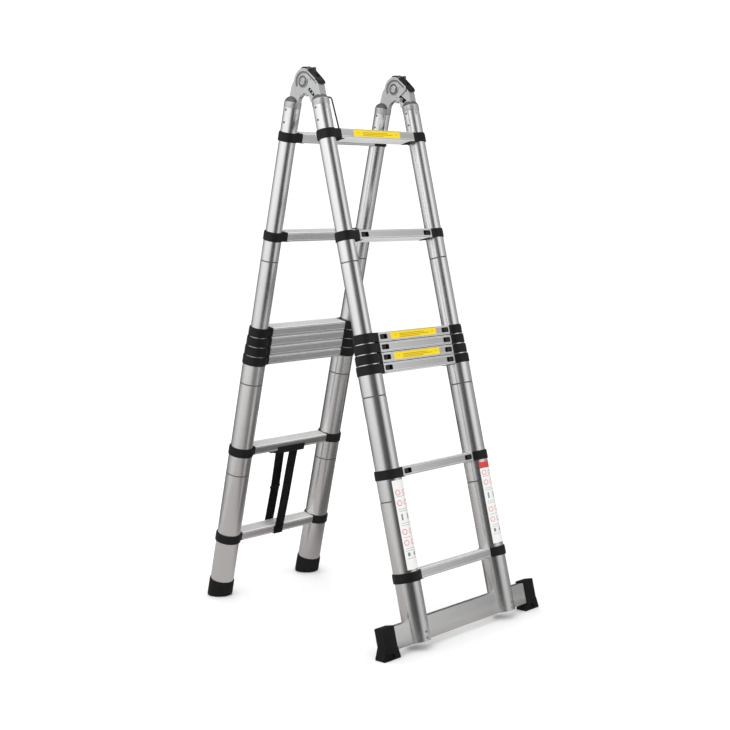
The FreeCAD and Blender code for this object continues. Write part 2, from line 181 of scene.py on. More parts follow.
def plain_material(name, low, high, roughness, scale, strength, distance, **constants):
    """A moulded or cast surface: slight colour variation, uneven gloss, fine relief."""
    material = new_material(name, low, roughness[0], **constants)
    fine = grain(material, scale, detail=6.0)
    spread(material, grain(material, scale / 40, detail=3.0), low, high, "Base Color")
    spread(material, fine, roughness[0], roughness[1], "Roughness")
    relief(material, fine, strength, distance)
    return material


# Black plastic for the collars and other moulded parts; on the lock lever's face it is also painted shade
# in the slot.
MATERIALS["collar"] = plain_material("collar_plastic", (0.006, 0.006, 0.007), (0.01, 0.01, 0.011),
                                     (0.34, 0.5), 700, 0.15, 0.0002, Specular_IOR_Level=0.2)
MATERIALS["slider"] = plain_material("slider_plastic", (0.022, 0.022, 0.024), (0.03, 0.03, 0.032),
                                     (0.3, 0.42), 800, 0.15, 0.0002, Specular_IOR_Level=0.3)
MATERIALS["rubber"] = plain_material("foot_rubber", (0.006, 0.006, 0.006), (0.01, 0.01, 0.01),
                                     (0.5, 0.7), 500, 0.25, 0.0003, Specular_IOR_Level=0.15)
MATERIALS["cast"] = plain_material("cast_metal", (0.5, 0.505, 0.505), (0.57, 0.575, 0.575),
                                   (0.3, 0.42), 600, 0.1, 0.0002, Metallic=0.9)
MATERIALS["steel"] = plain_material("pin_steel", (0.5, 0.5, 0.5), (0.6, 0.6, 0.6),
                                    (0.2, 0.35), 400, 0.1, 0.0002, Metallic=1.0)
MATERIALS["webbing"] = plain_material("webbing", (0.004, 0.004, 0.004), (0.009, 0.009, 0.009),
                                      (0.75, 0.9), 1500, 0.5, 0.0004, Specular_IOR_Level=0.1)
MATERIALS["yellow"] = plain_material("sticker_yellow", (0.8, 0.58, 0.0), (0.85, 0.64, 0.0),
                                     (0.32, 0.42), 120, 0.05, 0.0001, Specular_IOR_Level=0.15)
MATERIALS["ochre"] = plain_material("sticker_ochre", (0.3, 0.17, 0.0), (0.4, 0.24, 0.0),
                                    (0.32, 0.42), 120, 0.05, 0.0001)
MATERIALS["white"] = plain_material("sticker_white", (0.7, 0.7, 0.69), (0.78, 0.78, 0.77),
                                    (0.35, 0.45), 120, 0.05, 0.0001)
MATERIALS["red"] = plain_material("sticker_red", (0.55, 0.02, 0.02), (0.65, 0.03, 0.025),
                                  (0.35, 0.45), 120, 0.05, 0.0001)
MATERIALS["grey"] = plain_material("sticker_grey", (0.16, 0.17, 0.17), (0.22, 0.23, 0.23),
                                   (0.35, 0.45), 120, 0.05, 0.0001)
# Dark cast metal for the domes, rivets and cover barrels; on the boss's groove ring it is painted shade.
MATERIALS["dark"] = plain_material("dark_casting_and_groove_shade", (0.08, 0.08, 0.083), (0.12, 0.12, 0.124),
                                   (0.35, 0.5), 600, 0.15, 0.0003, Metallic=0.5)
MATERIALS["tread"] = plain_material("tread_aluminium", (0.76, 0.76, 0.755), (0.82, 0.82, 0.817),
                                    (0.45, 0.6), 500, 0.1, 0.0002, Metallic=0.2)
# A dark, dull metal used as painted shade: in the tubes' rolled grooves and in a band inside the hinge
# plates' rims.
MATERIALS["recess"] = plain_material("recess_metal", (0.17, 0.17, 0.172), (0.23, 0.23, 0.232),
                                     (0.4, 0.55), 600, 0.1, 0.0002, Metallic=0.8)

# ---------------------------------------------------------------- mesh helpers


def piece(name, mesh, ladder, body, material, nodes=(), bevel=0.0):
    """Turns a bmesh in a ladder's frame into a finished piece that rides on a body."""
    bmesh.ops.recalc_face_normals(mesh, faces=mesh.faces)
    mesh.transform(PLACE[ladder])
    data = bpy.data.meshes.new(name)
    mesh.to_mesh(data)
    mesh.free()
    for face in data.polygons:
        face.use_smooth = True
    data.set_sharp_from_angle(angle=SHARP_ANGLE)
    item = bpy.data.objects.new(name, data)
    bpy.context.scene.collection.objects.link(item)
    item.data.materials.append(MATERIALS[material])
    if bevel:
        rounded = item.modifiers.new("rounded", "BEVEL")
        rounded.width = bevel / 1000
        rounded.segments = 2
        rounded.limit_method = "ANGLE"
        rounded.angle_limit = math.radians(40)
        rounded.harden_normals = True
    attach(item, body)
    if nodes:
        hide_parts(*nodes)
    return item


def skin(mesh, rings, loop=False, caps=False):
    """Faces between rings of the same number of points; a loop joins the last ring to the first."""
    made = [[mesh.verts.new(point) for point in ring] for ring in rings]
    pairs = list(zip(made, made[1:] + made[:1] if loop else made[1:]))
    for low, high in pairs:
        for index in range(len(low)):
            after = (index + 1) % len(low)
            mesh.faces.new((low[index], low[after], high[after], high[index]))
    if caps:
        mesh.faces.new(list(reversed(made[0])))
        mesh.faces.new(made[-1])


def circle(radius, centre, level, count=80):
    """Points round a vertical axis."""
    turns = [2 * math.pi * index / count for index in range(count)]
    return [(centre[0] + radius * math.cos(turn), centre[1] + radius * math.sin(turn), level)
            for turn in turns]


def lathe(mesh, profile, centre, loop=False, caps=False, count=80):
    """A turned shape about a vertical axis: (radius, level) pairs."""
    skin(mesh, [circle(radius, centre, level, count) for radius, level in profile], loop, caps)


def lathe_across(mesh, profile, centre, loop=False, caps=True, count=48):
    """A turned shape about an axis along X: (radius, x) pairs, centre is (y, z)."""
    rings = []
    for radius, x in profile:
        turns = [2 * math.pi * index / count for index in range(count)]
        rings.append([(x, centre[0] + radius * math.cos(turn), centre[1] + radius * math.sin(turn))
                      for turn in turns])
    skin(mesh, rings, loop, caps)


def prism_x(mesh, outline, start, end):
    """A flat outline in Y and Z, pulled along X."""
    skin(mesh, [[(start, y, z) for y, z in outline], [(end, y, z) for y, z in outline]], caps=True)


def prism_y(mesh, outline, start, end):
    """A flat outline in X and Z, pulled along Y."""
    skin(mesh, [[(x, start, z) for x, z in outline], [(x, end, z) for x, z in outline]], caps=True)


def arc(centre, radius, start, end, count):
    """Points on an arc, degrees, both ends included."""
    steps = [math.radians(start + (end - start) * index / (count - 1)) for index in range(count)]
    return [(centre[0] + radius * math.cos(turn), centre[1] + radius * math.sin(turn)) for turn in steps]


def round_rectangle(centre, width, height, radius, count=5):
    """An outline with round corners."""
    half_w, half_h = width / 2 - radius, height / 2 - radius
    corners = ((half_w, half_h, 0), (-half_w, half_h, 90), (-half_w, -half_h, 180), (half_w, -half_h, 270))
    points = []
    for x, z, start in corners:
        points += arc((centre[0] + x, centre[1] + z), radius, start, start + 90, count)
    return points


def round_box(mesh, low, high):
    """A box between two corners; the piece's bevel rounds it."""
    outline = [(low[1], low[2]), (high[1], low[2]), (high[1], high[2]), (low[1], high[2])]
    prism_x(mesh, outline, low[0], high[0])


def rod(mesh, points, radius, count=12):
    """A round rod along straight runs, with mitred corners."""
    path = [Vector(point) for point in points]
    rings = []
    for index, point in enumerate(path):
        before = (point - path[index - 1]).normalized() if index else None
        after = (path[index + 1] - point).normalized() if index + 1 < len(path) else None
        tangent = ((before or after) + (after or before)).normalized()
        side = tangent.orthogonal().normalized() if not rings else side_of(rings[-1], path[index - 1],
                                                                           tangent)
        other = tangent.cross(side)
        turns = [2 * math.pi * step / count for step in range(count)]
        rings.append([point + (side * math.cos(turn) + other * math.sin(turn)) * radius for turn in turns])
    skin(mesh, rings, caps=True)


def side_of(ring, centre, tangent):
    """Carries a ring's first spoke on to the next ring without twist."""
    spoke = ring[0] - centre
    return (spoke - tangent * spoke.dot(tangent)).normalized()


def carved(item, cutters):
    """The piece with the cutters' volumes taken away."""
    for cutter in cutters:
        change = item.modifiers.new("carve", "BOOLEAN")
        change.object = cutter
        change.solver = "EXACT"
    bpy.context.view_layer.update()
    shaped = item.evaluated_get(bpy.context.evaluated_depsgraph_get())
    data = bpy.data.meshes.new_from_object(shaped)
    item.modifiers.clear()
    item.data = data
    for cutter in cutters:
        bpy.data.objects.remove(cutter)


def cutter_of(mesh, ladder):
    """A bare object that only carves."""
    bmesh.ops.recalc_face_normals(mesh, faces=mesh.faces)
    mesh.transform(PLACE[ladder])
    data = bpy.data.meshes.new("cutter")
    mesh.to_mesh(data)
    mesh.free()
    item = bpy.data.objects.new("cutter", data)
    bpy.context.scene.collection.objects.link(item)
    return item


# ---------------------------------------------------------------- sections


def make_tubes(ladder, section):
    """Both tubes of a section, each with its rolled bead and turned-in ends."""
    mesh = bmesh.new()
    radius = tube_radius(section)
    top = TUBE_TOP if section == 1 else RUNG_TOPS[section] - COLLAR_LIP
    end = TUBE_END[ladder] if section == SECTIONS else RUNG_TOPS[section] - TUBE_LENGTH
    bead = RUNG_TOPS[section] - BEAD_DROP
    outside = [(radius - 0.4, end), (radius, end + 0.5), (radius, end + 1.5)]
    if section > 1:
        outside += [(radius, bead - 3.0), (radius, bead - 1.9), (radius - 0.3, bead - 1.5),
                    (radius - 1.3, bead - 0.9), (radius - 1.3, bead + 0.9), (radius - 0.3, bead + 1.5),
                    (radius, bead + 1.9), (radius, bead + 3.0)]
    outside += [(radius, top - 1.5), (radius, top - 0.5), (radius - 0.4, top)]
    inside = [(radius - TUBE_WALL, top), (radius - TUBE_WALL, end)]
    for _, sign in SIDES:
        lathe(mesh, outside + inside, (sign * STILE_X, STILE_Y), loop=True, count=96)
    name = f"{ladder}_tubes_{section}"
    body = f"{ladder}_{section}"
    tubes = piece(name, mesh, ladder, body, f"{ladder}_tube", [f"{ladder}_section_{section}"])
    if section == SECTIONS and ladder == "front":
        slot = bmesh.new()
        for _, sign in SIDES:
            round_box(slot, (sign * STILE_X - 50, STILE_Y - BAR_DEPTH / 2 - 0.3, end - 5),
                      (sign * STILE_X + 50, STILE_Y + BAR_DEPTH / 2 + 0.3, end + BAR_HEIGHT + 0.3))
        carved(tubes, [cutter_of(slot, ladder)])
    if section > 1:
        shade_bead_groove(tubes, ladder, bead)


def shade_bead_groove(tubes, ladder, bead):
    """The rolled groove gets a duller, darker metal; the dark colour is painted shade for the groove's
    shadow line.
    """
    back = PLACE[ladder].inverted()
    tubes.data.materials.append(MATERIALS["recess"])
    for face in tubes.data.polygons:
        if abs((back @ face.center).z - bead) < BEAD_HALF:
            face.material_index = 1


def rung_outline(top):
    """The tread's section: round corners, grooves on top and a fine line near each edge."""
    half = RUNG_DEPTH / 2
    bottom = top - RUNG_HEIGHT
    corner, groove, pitch = 2.5, 0.65, 5.2
    points = arc((half - corner, top - corner), corner, 0, 90, 4)
    for index in range(3, -4, -1):
        y = index * pitch
        points += [(y + groove + 0.3, top), (y + groove * 0.6, top - 1.2), (y - groove * 0.6, top - 1.2),
                   (y - groove - 0.3, top)]
    points += arc((-half + corner, top - corner), corner, 90, 180, 4)
    for level in (top - 4.0, bottom + 5.0):
        points += [(-half, level + 0.7), (-half + 0.8, level + 0.2), (-half + 0.8, level - 0.2),
                   (-half, level - 0.7)]
    points += arc((-half + corner, bottom + corner), corner, 180, 270, 4)
    points += arc((half - corner, bottom + corner), corner, 270, 360, 4)
    for level in (bottom + 5.0, top - 4.0):
        points += [(half, level - 0.7), (half - 0.8, level - 0.2), (half - 0.8, level + 0.2),
                   (half, level + 0.7)]
    return [(STILE_Y + y, z) for y, z in points]


def make_rung(ladder, section, rung):
    """One grooved tread, with a pocket behind each release window."""
    top = RUNG_TOPS[rung]
    mesh = bmesh.new()
    prism_x(mesh, rung_outline(top), -RUNG_HALF, RUNG_HALF)
    name = f"{ladder}_rung_{rung}"
    body = f"{ladder}_{section}"
    tread = piece(name, mesh, ladder, body, "rung", [f"{ladder}_section_{section}"])
    if 1 < rung <= SECTIONS:
        cutters = []
        for _, sign in SIDES:
            pocket = bmesh.new()
            window = round_rectangle((sign * WINDOW_X, top - RUNG_HEIGHT / 2), WINDOW_LENGTH,
                                     WINDOW_HEIGHT, 3.5)
            prism_y(pocket, window, STILE_Y - RUNG_DEPTH / 2 - 5, STILE_Y - RUNG_DEPTH / 2 + 11)
            cutters.append(cutter_of(pocket, ladder))
        carved(tread, cutters)
        make_bezels(ladder, section, top)
        make_sliders(ladder, section, top)
    matte_tread(tread, ladder)


def matte_tread(tread, ladder):
    """The ribbed top and the underside are matte, the faces are satin."""
    up = (PLACE[ladder].to_3x3() @ Vector((0, 0, 1))).normalized()
    tread.data.materials.append(MATERIALS["tread"])
    for face in tread.data.polygons:
        face.material_index = 1 if abs(face.normal.dot(up)) > 0.6 else 0


def make_bezels(ladder, section, top):
    """The black lining of each release window."""
    mesh = bmesh.new()
    face = STILE_Y - RUNG_DEPTH / 2
    middle = top - RUNG_HEIGHT / 2
    for _, sign in SIDES:
        rings = []
        for shrink, depth in ((0.1, 10.8), (0.1, -0.3), (1.6, -0.3), (1.9, 0.2), (1.9, 9.6)):
            window = round_rectangle((sign * WINDOW_X, middle), WINDOW_LENGTH - 2 * shrink,
                                     WINDOW_HEIGHT - 2 * shrink, 3.4)
            rings.append([(x, face + depth, z) for x, z in window])
        skin(mesh, rings, caps=True)
    piece(f"{ladder}_bezels_{section}", mesh, ladder, f"{ladder}_{section}", "collar",
          [f"{ladder}_section_{section}_collars"])


def make_sliders(ladder, section, top):
    """The thumb sliders inside the windows, each with three grip ridges."""
    face = STILE_Y - RUNG_DEPTH / 2 + 1.5
    middle = top - RUNG_HEIGHT / 2
    for side, sign in SIDES:
        turned = -sign if ladder == "rear" else sign
        mesh = bmesh.new()
        centre = turned * (WINDOW_X + 5)
        prism_y(mesh, round_rectangle((centre, middle), 15.5, 11, 2), face, face + 8)
        for shift in (-3.6, 0, 3.6):
            ridge = round_rectangle((centre + shift, middle), 1.5, 8, 0.7, 3)
            prism_y(mesh, ridge, face - 0.9, face + 0.5)
        name = f"{ladder}_slider_{section}_{side}"
        piece(f"{name}_knob", mesh, ladder, name, "slider", [name], bevel=0.4)


def collar_angles(outer):
    """Where a collar's outline is sampled: every five degrees, and at its corners."""
    half = BLOCK_DEPTH / 2
    corners = [math.degrees(math.atan2(half, STILE_X - RUNG_HALF)), math.degrees(math.asin(half / outer))]
    corners += [360 - corner for corner in corners]
    between = [5 * step for step in range(72) if all(abs(5 * step - corner) > 1 for corner in corners)]
    return [math.radians(angle) for angle in sorted(corners + between)]


def collar_outline(angles, outer, inset, x, sign, level):
    """A collar at one level: round the tube, then straight to the rung's end."""
    half = BLOCK_DEPTH / 2 - inset
    radius = outer - inset
    shoulder = math.asin(half / radius)
    points = []
    for turn in angles:
        length = radius
        if min(turn, 2 * math.pi - turn) < shoulder:
            to_end = (STILE_X - RUNG_HALF) / math.cos(turn)
            to_side = half / max(abs(math.sin(turn)), 1e-6)
            length = min(to_end, to_side)
        points.append((x - sign * length * math.cos(turn), STILE_Y + length * math.sin(turn), level))
    return points


def collar_bore(angles, radius, x, sign, level):
    """The round hole of a collar at one level."""
    return [(x - sign * radius * math.cos(turn), STILE_Y + radius * math.sin(turn), level)
            for turn in angles]


COLLAR_OUTSIDE = ((1.0, 0), (0, 1.0), (0, 23), (0.7, 23.5), (0.7, 26.3), (1.7, RUNG_HEIGHT))
TONGUE_LENGTH = 14
TONGUE_HALF_DEPTH = 19
TONGUE_THICKNESS = 1.5


def make_collars(ladder, section, rung):
    """The moulded collars at both ends of a rung, each with a thin tongue under the rung."""
    mesh = bmesh.new()
    own = tube_radius(section)
    clamp = rung in (1, SECTIONS + 1)
    outer = own + (4 if clamp else 2.5)
    mouth = own + 0.15 if clamp else tube_radius(section - 1) + 0.45
    top = RUNG_TOPS[rung]
    low = top - RUNG_HEIGHT
    bores = ((mouth + 0.8, top), (mouth, top - 0.9), (mouth, top - COLLAR_LIP),
             (own + 0.1, top - COLLAR_LIP), (own + 0.1, low + 0.8), (own + 0.8, low))
    angles = collar_angles(outer)
    for _, sign in SIDES:
        x = sign * STILE_X
        rings = [collar_outline(angles, outer, inset, x, sign, low + height)
                 for inset, height in COLLAR_OUTSIDE]
        rings += [collar_bore(angles, radius, x, sign, level) for radius, level in bores]
        skin(mesh, rings, loop=True)
        start, end = sorted((sign * (RUNG_HALF - TONGUE_LENGTH), sign * (RUNG_HALF + 0.5)))
        round_box(mesh, (start, STILE_Y - TONGUE_HALF_DEPTH, low - TONGUE_THICKNESS),
                  (end, STILE_Y + TONGUE_HALF_DEPTH, low + 0.1))
    name = f"{ladder}_collars_{rung}"
    piece(name, mesh, ladder, f"{ladder}_{section}", "collar", [f"{ladder}_section_{section}_collars"])


def make_section(ladder, section):
    make_tubes(ladder, section)
    for rung in rungs_of(section):
        make_rung(ladder, section, rung)
        make_collars(ladder, section, rung)


for ladder in ("front", "rear"):
    for section in range(1, SECTIONS + 1):
        make_section(ladder, section)

# ---------------------------------------------------------------- hinges

LEAF_HALF = 7.4
LEAF_HEAD = 42
PLATE_INNER = 8
PLATE_OUTER = 13
PLATE_HEAD = 38
SHOULDER = -83
LEVER_PIN = (-47, -12)
KNOB_ENDS = ((-8, -34), (-24, -41))
KNOB_RADIUS = 6
SEAL_START, SEAL_END, SEAL_STEPS = 122, -50, 48


def soften(points, cut, closed=True):
    """Rounds each corner of an outline over a short length."""
    path = [Vector(point) for point in points]
    smooth = []
    for index, corner in enumerate(path):
        if not closed and index in (0, len(path) - 1):
            smooth.append(tuple(corner))
            continue
        before = path[index - 1]
        after = path[(index + 1) % len(path)]
        start = corner + (before - corner).normalized() * min(cut, (before - corner).length * 0.45)
        end = corner + (after - corner).normalized() * min(cut, (after - corner).length * 0.45)
        for step in range(5):
            part = step / 4
            smooth.append(tuple(start * (1 - part) ** 2 + corner * 2 * part * (1 - part) + end * part ** 2))
    return smooth


def leaf_outline(head, left, right):
    """A round head about the hinge axis, between the arm's two sides."""
    turn_left = math.degrees(math.atan2(left[-1][1], left[-1][0]))
    turn_right = math.degrees(math.atan2(right[0][1], right[0][0]))
    return soften(left, 6, closed=False) + arc((0, 0), head, turn_left, turn_right, 40) + soften(
        right, 14, closed=False)


def make_rear_leaf(side, sign):
    """The single leaf between the front leaf's plates, with its dark shoulder and ring."""
    mesh = bmesh.new()
    x = sign * STILE_X
    outline = leaf_outline(LEAF_HEAD, [(-54, -66), (-50, -17), (-25, 33)],
                           [(10, -40), (-2, -38), (-13, -50), (-14, -66)])
    prism_x(mesh, outline, x - LEAF_HALF, x + LEAF_HALF)
    piece(f"hinge_rear_leaf_{side}", mesh, "rear", "rear_1", "cast", ["hinge_rear_leaves"], bevel=1.5)
    band = bmesh.new()
    spokes = [(LEAF_HEAD - 1, -LEAF_HALF), (LEAF_HEAD + 0.3, -LEAF_HALF), (LEAF_HEAD + 0.3, LEAF_HALF),
              (LEAF_HEAD - 1, LEAF_HALF)]
    rings = []
    for index in range(SEAL_STEPS + 1):
        turn = math.radians(SEAL_START + (SEAL_END - SEAL_START) * index / SEAL_STEPS)
        rings.append([(x + across, radius * math.cos(turn), radius * math.sin(turn))
                      for radius, across in spokes])
    skin(band, rings, caps=True)
    piece(f"hinge_seal_{side}", band, "rear", "rear_1", "collar")
    make_shoulder("rear", side, sign)


def make_shoulder(ladder, side, sign):
    """The cast ring on a first tube's top, the dark dome above it and the rivets below."""
    centre = (sign * STILE_X, STILE_Y)
    body = f"{ladder}_1"
    node = f"hinge_{ladder}_leaves"
    ring = bmesh.new()
    lathe(ring, [(23, SHOULDER), (25.5, SHOULDER), (25.7, SHOULDER + 0.6), (25.7, -66), (25.1, -65.2),
                 (23, -65)],
          centre, loop=True)
    piece(f"hinge_{ladder}_ring_{side}", ring, ladder, body, "cast", [node])
    dome = bmesh.new()
    lathe(dome, [(24.6, -68), (24.4, -65), (23, -61), (20, -57), (15, -53), (9, -50.5), (3, -49.5)], centre,
          caps=True)
    piece(f"hinge_{ladder}_dome_{side}", dome, ladder, body, "dark", [node])
    studs = bmesh.new()
    for drop in (-90, -127):
        for face in (-1, 1):
            reach = centre[0] + face * (tube_radius(1) - 1)
            lathe_across(studs, [(3.4, reach), (3.4, reach + face * 1.3), (2.6, reach + face * 1.8),
                                 (1.2, reach + face * 1.8), (1, reach + face * 0.8)], (STILE_Y, drop),
                                 count=24)
    piece(f"{ladder}_rivets_{side}", studs, ladder, body, "dark")


FRONT_LEFT = [(-57, -64), (-57, -22), (-48, -4), (-24, 29)]
FRONT_RIGHT = [(10, -33), (-4, -36), (-13, -48), (-14, -64)]
RIDGE = [(-49, -9), (-45, -4), (-24, 23)]
SLOT_ENDS = ((-19, -30), (-30, -48))
SLOT_RADIUS = 5
PEEP = [(-51, -17), (-45, -15), (-46, -23)]


def capsule(start, end, radius, count=9):
    """A slot's outline, round at both ends."""
    turn = math.degrees(math.atan2(end[1] - start[1], end[0] - start[0]))
    return arc(end, radius, turn - 90, turn + 90, count) + arc(start, radius, turn + 90, turn + 270, count)


def make_front_leaf(side, sign):
    """Two plates with a raised rim, a boss and a lock slot, and the spine that joins them."""
    x = sign * STILE_X
    for face, word in ((-1, "low"), (1, "high")):
        mesh = bmesh.new()
        prism_x(mesh, leaf_outline(PLATE_HEAD, FRONT_LEFT, FRONT_RIGHT), x + face * PLATE_INNER,
                x + face * PLATE_OUTER)
        plate = piece(f"hinge_front_leaf_{side}_{word}", mesh, "front", "front_1", "cast",
                      ["hinge_front_leaves"])
        slot = bmesh.new()
        prism_x(slot, capsule(*SLOT_ENDS, SLOT_RADIUS), x + face * (PLATE_INNER - 1),
                x + face * (PLATE_OUTER + 1))
        peep = bmesh.new()
        prism_x(peep, soften(PEEP, 1.5), x + face * (PLATE_INNER - 1), x + face * (PLATE_OUTER + 1))
        carved(plate, [cutter_of(slot, "front"), cutter_of(peep, "front")])
        smooth_again(plate, 1.0)
        make_relief(side, word, x, face)
    spine = bmesh.new()
    back = [(-22, -52), (-22, -38.5)] + arc((0, 0), 44.4, 241, 192, 10)
    outline = [(-14, -64), (-57, -64), (-57, -22), (-51, -10)] + list(reversed(back)) + [(-16, -54)]
    prism_x(spine, outline, x - PLATE_INNER, x + PLATE_INNER)
    piece(f"hinge_spine_{side}", spine, "front", "front_1", "cast", ["hinge_front_leaves"], bevel=0.8)
    fin = bmesh.new()
    prism_x(fin, soften([(-59, -100), (-66, -100), (-66, -78), (-59, -60)], 3), x - 9, x + 9)
    piece(f"hinge_fin_{side}", fin, "front", "front_1", "cast", bevel=1.2)
    make_shoulder("front", side, sign)
    make_cover(side, x)


def smooth_again(item, bevel):
    """Shading and a rounded edge for a piece after it has been carved."""
    for face in item.data.polygons:
        face.use_smooth = True
    item.data.set_sharp_from_angle(angle=SHARP_ANGLE)
    rounded = item.modifiers.new("rounded", "BEVEL")
    rounded.width = bevel / 1000
    rounded.segments = 2
    rounded.limit_method = "ANGLE"
    rounded.angle_limit = math.radians(50)
    rounded.harden_normals = True


RIM_SECTION = [(-3.2, -0.4), (-2.2, 2.0), (1.6, 2.2), (2.4, -0.4)]
# The band inside the rim is painted shade: a dark strip along the rim's inner slope.
RIM_SHADE_SECTION = [(2.2, -0.3), (2.2, 1.4), (8, 0.3), (8, -0.3)]


def make_relief(side, word, x, face):
    """The raised rim, the turned boss with its groove, and a small blind rivet on one plate."""
    at = x + face * PLATE_OUTER
    rim = bmesh.new()
    path = arc((0, 0), 31, -10, 118, 26)
    middle = [Vector(point) for point in path] + [Vector(point) for point in reversed(RIDGE)]
    rings = []
    for index, point in enumerate(middle):
        ahead = middle[min(index + 1, len(middle) - 1)]
        behind = middle[max(index - 1, 0)]
        normal = (ahead - behind).orthogonal().normalized()
        rings.append([[(at + face * rise, *(point + normal * offset)) for offset, rise in section]
                      for section in (RIM_SECTION, RIM_SHADE_SECTION)])
    skin(rim, [ring[0] for ring in rings], caps=True)
    piece(f"hinge_rim_{side}_{word}", rim, "front", "front_1", "cast", ["hinge_front_leaves"])
    # A dark band along the rim's inner slope: painted shade inside the rim.
    recess = bmesh.new()
    skin(recess, [ring[1] for ring in rings], caps=True)
    piece(f"hinge_recess_{side}_{word}", recess, "front", "front_1", "recess", ["hinge_front_leaves"])
    boss = bmesh.new()
    profile = [(19.4, at - face * 0.5), (18.6, at + face * 1.6), (17.6, at + face * 2.4),
               (16.6, at + face * 2.4), (16.2, at + face * 0.6), (12.4, at + face * 0.6),
               (12.2, at + face * 3), (11.6, at + face * 3.4), (11, at + face * 2)]
    lathe_across(boss, profile, (0, 0))
    piece(f"hinge_boss_{side}_{word}", boss, "front", "front_1", "cast", ["hinge_front_leaves"])
    # A dark ring laid in the boss's groove: painted shade.
    groove = bmesh.new()
    profile = [(16.4, at + face * 0.3), (16.4, at + face * 1.1), (12.3, at + face * 1.1),
               (12.3, at + face * 0.3)]
    lathe_across(groove, profile, (0, 0), loop=True, caps=False)
    piece(f"hinge_groove_shade_{side}_{word}", groove, "front", "front_1", "dark")
    pin = bmesh.new()
    profile = [(10.6, at + face * 1.5), (10.6, at + face * 4.2), (9.6, at + face * 5.2),
               (7.4, at + face * 5.4), (6.4, at + face * 4.2), (4.6, at + face * 4.2),
               (3.6, at + face * 5.4), (1.2, at + face * 5.8)]
    lathe_across(pin, profile, (0, 0))
    piece(f"hinge_pin_{side}_{word}", pin, "front", "front_1", "steel", ["hinge_pins"])
    stud = bmesh.new()
    lathe_across(stud, [(3.4, at - face * 0.5), (3.2, at + face * 1.0), (2, at + face * 1.5)], (-27, -2),
                 count=24)
    piece(f"hinge_stud_{side}_{word}", stud, "front", "front_1", "steel", ["hinge_pins"])


COVER_OUTSIDE = [(-3, 41.2), (-12, 40.2), (-19, 38.4), (-27, 33.5), (-51, -1), (-60, -15), (-61, -24)]
COVER_INSIDE = [(-57, -23), (-47.5, -4), (-23.5, 30), (-13, 36.6), (-3, 38.6)]
COVER_LOW = [(-51, -1), (-60, -15), (-61, -24), (-57, -23), (-51, -10), (-45.5, -1)]
BARREL = (-30, 30)
BARREL_RADIUS = 5.1


def make_cover(side, x):
    """The black guard on the front leaf's upper edge, joined low down, and its cross barrel."""
    mesh = bmesh.new()
    barrel = bmesh.new()
    for face in (-1, 1):
        low, high = sorted((x + face * (PLATE_INNER - 0.2), x + face * (PLATE_OUTER + 1.2)))
        prism_x(mesh, soften(COVER_OUTSIDE + COVER_INSIDE, 3), low, high)
        inner, outer = x + face * (PLATE_INNER + 0.2), x + face * (PLATE_OUTER + 2.2)
        profile = [(BARREL_RADIUS - 0.6, inner), (BARREL_RADIUS, inner + face * 0.6),
                   (BARREL_RADIUS, outer - face * 0.6), (BARREL_RADIUS - 0.6, outer)]
        lathe_across(barrel, profile, BARREL, count=28)
    prism_x(mesh, soften(COVER_LOW, 1.5), x - PLATE_INNER, x + PLATE_INNER)
    piece(f"hinge_cover_{side}", mesh, "front", "front_1", "collar", bevel=0.8)
    piece(f"hinge_barrel_{side}", barrel, "front", "front_1", "dark")


def make_latch(side, sign):
    """The lock lever on the hinge's inward face, its pin, and the bolt seen through the slot."""
    inner = sign * (STILE_X - PLATE_OUTER)
    near, far = inner - sign * 0.5, inner - sign * 4.5
    lever = bmesh.new()
    prism_x(lever, soften([(-52, -16), (-50, -6), (-43, -7), (-9, -21), (-4, -30), (-12, -33), (-24, -28)],
                          3.5),
            near, far)
    piece(f"lock_lever_{side}", lever, "front", "hinge_lock", "cast", ["hinge_lock_levers"], bevel=0.8)
    knob = bmesh.new()
    prism_x(knob, capsule(*KNOB_ENDS, KNOB_RADIUS, 12), near, far)
    piece(f"lock_knob_{side}", knob, "front", "hinge_lock", "cast", ["hinge_lock_levers"], bevel=1.2)
    marks = bmesh.new()
    lathe_across(marks, [(4.8, far + sign * 0.3), (4.8, far - sign * 0.5), (3.4, far - sign * 0.5),
                         (3.4, far + sign * 0.3)], KNOB_ENDS[1], loop=True, caps=False, count=32)
    lathe_across(marks, [(1.8, far + sign * 0.3), (1.8, far - sign * 0.4), (1, far - sign * 0.6)],
                 KNOB_ENDS[1],
                 count=20)
    piece(f"lock_knob_marks_{side}", marks, "front", "hinge_lock", "collar")
    # A thin black sheet on the inward face along the slot: painted shade.
    shade = bmesh.new()
    prism_x(shade, capsule((-17, -25), (-38, -47), 3.2, 9), inner + sign * 0.4, inner - sign * 0.3)
    piece(f"lock_slot_shade_{side}", shade, "front", "front_1", "collar")
    pin = bmesh.new()
    lathe_across(pin, [(4, inner + sign * 0.5), (4, far - sign * 0.6), (3.2, far - sign * 1.2),
                       (1, far - sign * 1.4)],
                 LEVER_PIN, count=32)
    piece(f"lock_pin_{side}", pin, "front", "front_1", "steel", ["hinge_pins"])
    outer = sign * (STILE_X + PLATE_INNER + 1)
    bolt = bmesh.new()
    middle = [(start + end) / 2 for start, end in zip(*SLOT_ENDS)]
    lathe_across(bolt, [(3.4, outer), (3.4, outer + sign * 3.2), (2.4, outer + sign * 4)],
                 (middle[0] - 2.5, middle[1] - 4), count=28)
    lathe_across(bolt, [(2.6, outer), (2.6, outer + sign * 2.4), (1.8, outer + sign * 3)],
                 (middle[0] + 4, middle[1] + 7), count=28)
    piece(f"lock_bolt_{side}", bolt, "front", "front_1", "steel")
    backing = bmesh.new()
    for face in (-1, 1):
        edge = sign * STILE_X + face * PLATE_INNER
        prism_x(backing, capsule(*SLOT_ENDS, SLOT_RADIUS + 1.5), edge - face * 0.3, edge + face * 1.2)
    piece(f"lock_backing_{side}", backing, "front", "front_1", "collar")


